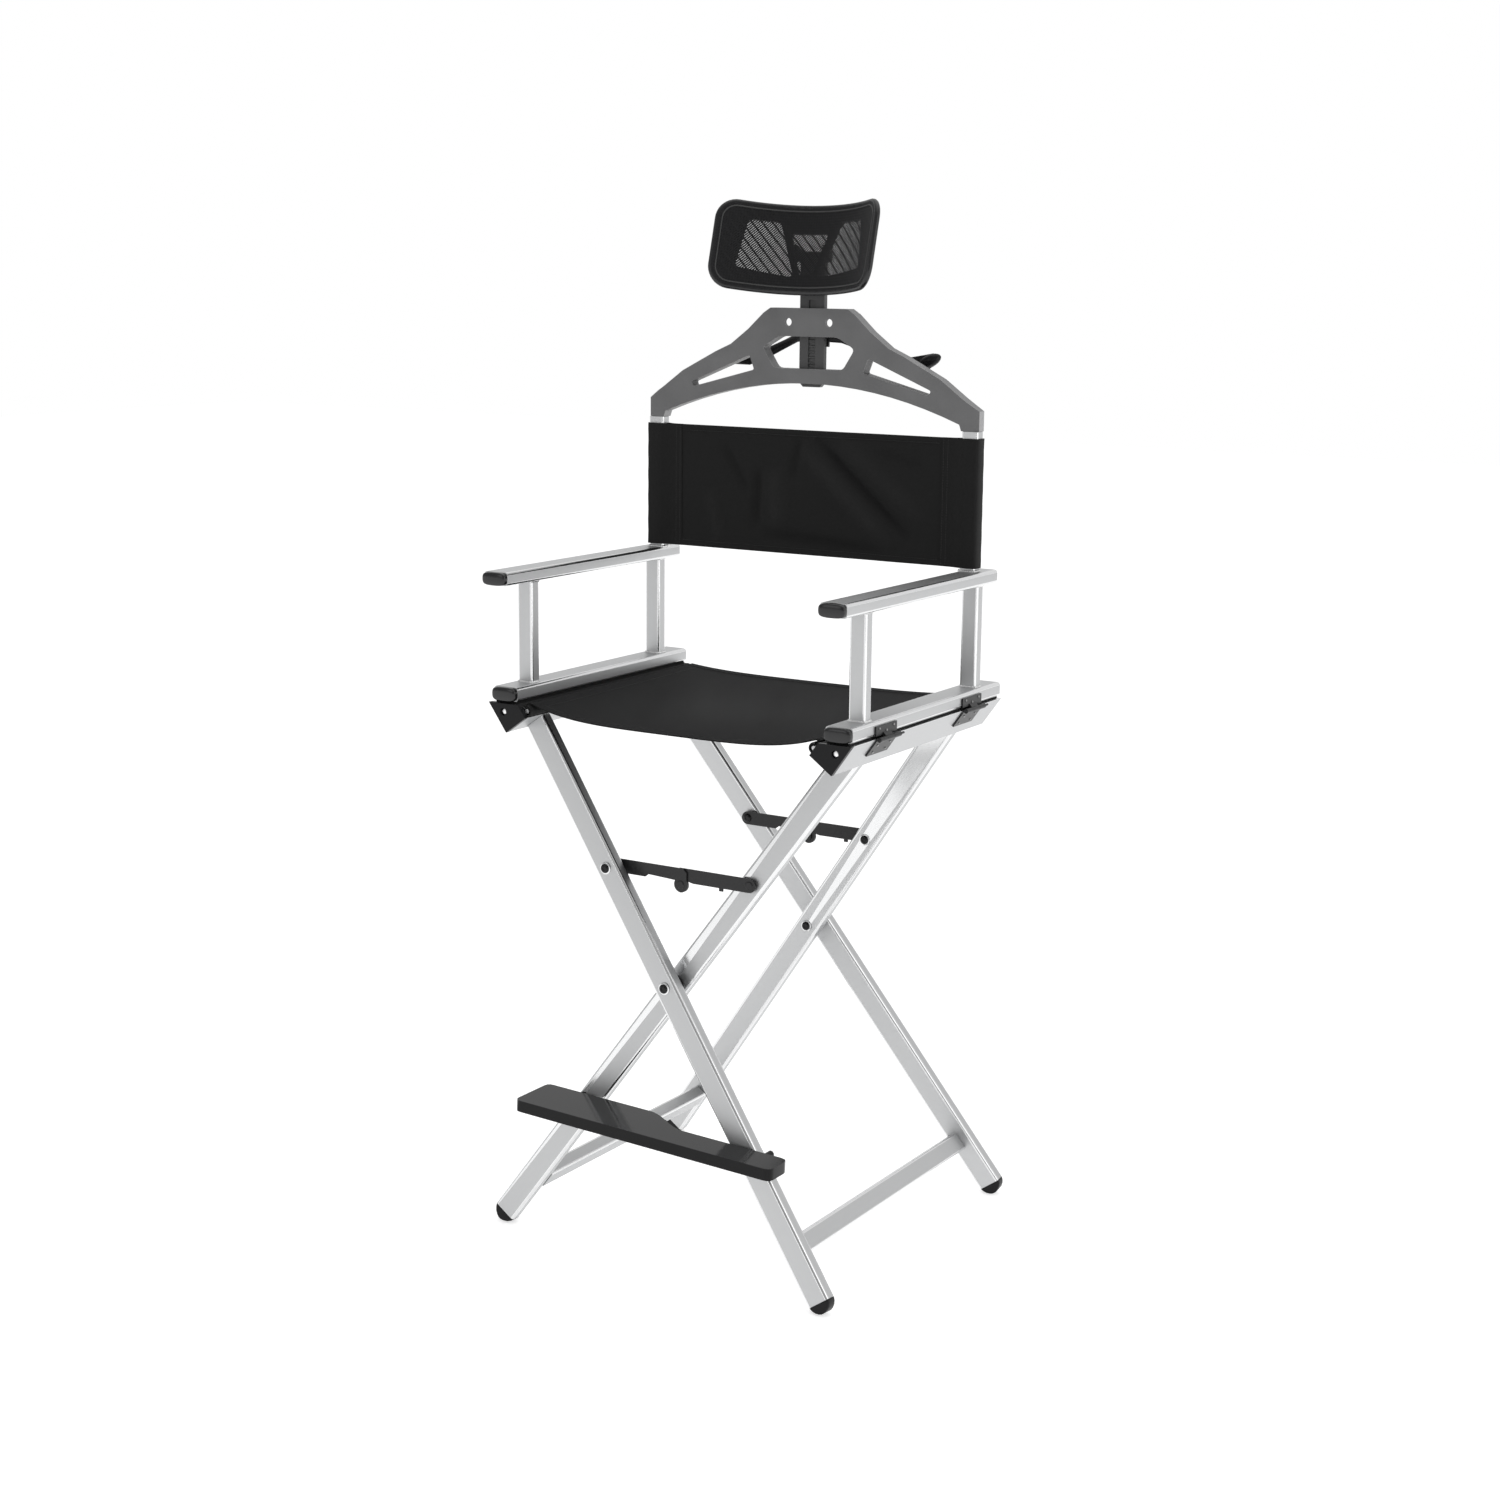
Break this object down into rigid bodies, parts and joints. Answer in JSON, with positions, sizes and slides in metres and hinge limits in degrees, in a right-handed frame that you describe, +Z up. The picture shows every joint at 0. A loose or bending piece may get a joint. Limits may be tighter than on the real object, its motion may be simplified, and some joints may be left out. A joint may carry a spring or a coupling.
{
  "type": "folding makeup chair",
  "caption": "Tall folding director's chair with crossed aluminium legs, cloth seat and back slings, hinged arms, swinging footrest and an adjustable headrest on an arched bridge.",
  "frame": {"origin": "middle of the chair's footprint on the floor", "axes": "+Z up, +X to the right seen from the front, the front is -Y"},
  "size_m": [0.5724, 0.5432, 1.406],
  "materials": {
    "frame_aluminium": "satin anodised",
    "bolt_steel": "blackened, polished",
    "black_steel": "black coated",
    "black_plastic": "moulded, semi-gloss",
    "bridge_plastic": "satin dark grey",
    "footrest_plastic": "smooth, semi-gloss",
    "sling_canvas": "heavy black canvas",
    "headrest_netting": "black spacer mesh"
  },
  "bodies": {
    "outer_frame": {"outer_front_leg": "frame_aluminium", "outer_rear_leg": "frame_aluminium", "outer_stretcher": "frame_aluminium", "left_seat_rail": "frame_aluminium", "left_rail_cap": "black_plastic", "outer_front_foot": "black_plastic", "outer_rear_foot": "black_plastic", "left_front_hinge_base": "black_steel", "left_rear_hinge_base": "black_steel", "left_seat_rod": "frame_aluminium", "left_seat_hem": "sling_canvas", "front_crossing_bolt": "bolt_steel", "rear_crossing_bolt": "bolt_steel", "front_brace_bolt": "bolt_steel", "rear_brace_bolt": "bolt_steel", "footrest_bolt": "bolt_steel", "seat_sling": "sling_canvas"},
    "inner_frame": {"inner_front_leg": "frame_aluminium", "inner_rear_leg": "frame_aluminium", "inner_stretcher": "frame_aluminium", "right_seat_rail": "frame_aluminium", "right_rail_cap": "black_plastic", "inner_front_foot": "black_plastic", "inner_rear_foot": "black_plastic", "right_front_hinge_base": "black_steel", "right_rear_hinge_base": "black_steel", "right_seat_rod": "frame_aluminium", "right_seat_hem": "sling_canvas", "footrest_rest_pin": "bolt_steel"},
    "left_arm": {"left_arm_rail": "frame_aluminium", "left_arm_rail_cap": "black_plastic", "left_armrest": "frame_aluminium", "left_armrest_cap": "black_plastic", "left_front_post": "frame_aluminium", "left_rear_post": "frame_aluminium", "left_back_post": "frame_aluminium", "left_front_hinge_leaf": "black_steel", "left_rear_hinge_leaf": "black_steel", "left_back_sleeve": "sling_canvas", "back_sling": "sling_canvas"},
    "right_arm": {"right_arm_rail": "frame_aluminium", "right_arm_rail_cap": "black_plastic", "right_armrest": "frame_aluminium", "right_armrest_cap": "black_plastic", "right_front_post": "frame_aluminium", "right_rear_post": "frame_aluminium", "right_back_post": "frame_aluminium", "right_front_hinge_leaf": "black_steel", "right_rear_hinge_leaf": "black_steel", "right_back_sleeve": "sling_canvas"},
    "front_brace_outer": {"front_outer_link": "black_steel"},
    "front_brace_inner": {"front_inner_link": "black_steel"},
    "rear_brace_outer": {"rear_outer_link": "black_steel"},
    "rear_brace_inner": {"rear_inner_link": "black_steel"},
    "footrest": {"footrest_board": "footrest_plastic"},
    "bridge": {"headrest_bridge": "bridge_plastic", "coat_hanger": "black_plastic"},
    "mast": {"headrest_mast": "black_plastic"},
    "headrest": {"headrest_frame": "black_plastic", "headrest_mesh": "headrest_netting"}
  },
  "joints": [
    {"name": "fold", "type": "hinge", "parent": "outer_frame", "child": "inner_frame", "pos_m": [0, 0.00777, 0.38179], "axis": [0, -1, 0], "range_deg": [0, 46], "deforming": ["seat_sling", "back_sling"]},
    {"name": "left_arm_fold", "type": "hinge", "parent": "outer_frame", "child": "left_arm", "pos_m": [-0.283, 0.00777, 0.7375], "axis": [0, -1, 0], "range_deg": [0, 23]},
    {"name": "right_arm_fold", "type": "hinge", "parent": "inner_frame", "child": "right_arm", "pos_m": [0.283, 0.00777, 0.7375], "axis": [0, 1, 0], "range_deg": [0, 23]},
    {"name": "front_brace_swing", "type": "hinge", "parent": "outer_frame", "child": "front_brace_outer", "pos_m": [-0.10426, -0.17, 0.52742], "axis": [0, -1, 0], "range_deg": [0, 98.21]},
    {"name": "front_knuckle", "type": "hinge", "parent": "front_brace_outer", "child": "front_brace_inner", "pos_m": [0, -0.17, 0.51462], "axis": [0, -1, 0], "range_deg": [-150.38, 0]},
    {"name": "rear_brace_swing", "type": "hinge", "parent": "outer_frame", "child": "rear_brace_outer", "pos_m": [-0.10426, 0.178, 0.52742], "axis": [0, -1, 0], "range_deg": [0, 98.21]},
    {"name": "rear_knuckle", "type": "hinge", "parent": "rear_brace_outer", "child": "rear_brace_inner", "pos_m": [0, 0.178, 0.51462], "axis": [0, -1, 0], "range_deg": [-150.38, 0]},
    {"name": "footrest_lift", "type": "hinge", "parent": "outer_frame", "child": "footrest", "pos_m": [0.13802, -0.216, 0.189], "axis": [0, 1, 0], "range_deg": [0, 12]},
    {"name": "bridge_lift", "type": "slide", "parent": "left_arm", "child": "bridge", "axis": [0, 0, 1], "range_m": [0, 0.06]},
    {"name": "headrest_height", "type": "slide", "parent": "bridge", "child": "mast", "axis": [0, 0, 1], "range_m": [0, 0.038]},
    {"name": "headrest_tilt", "type": "hinge", "parent": "mast", "child": "headrest", "pos_m": [0, 0.1628, 1.33], "axis": [1, 0, 0], "range_deg": [-20, 12]}
  ],
  "couplings": [
    {"joint": "left_arm_fold", "follows": "fold", "ratio": 0.5},
    {"joint": "right_arm_fold", "follows": "fold", "ratio": 0.5},
    {"joint": "front_brace_swing", "follows": "fold", "ratio": 2.134},
    {"joint": "front_knuckle", "follows": "fold", "ratio": -3.268},
    {"joint": "rear_brace_swing", "follows": "fold", "ratio": 2.134},
    {"joint": "rear_knuckle", "follows": "fold", "ratio": -3.268}
  ]
}
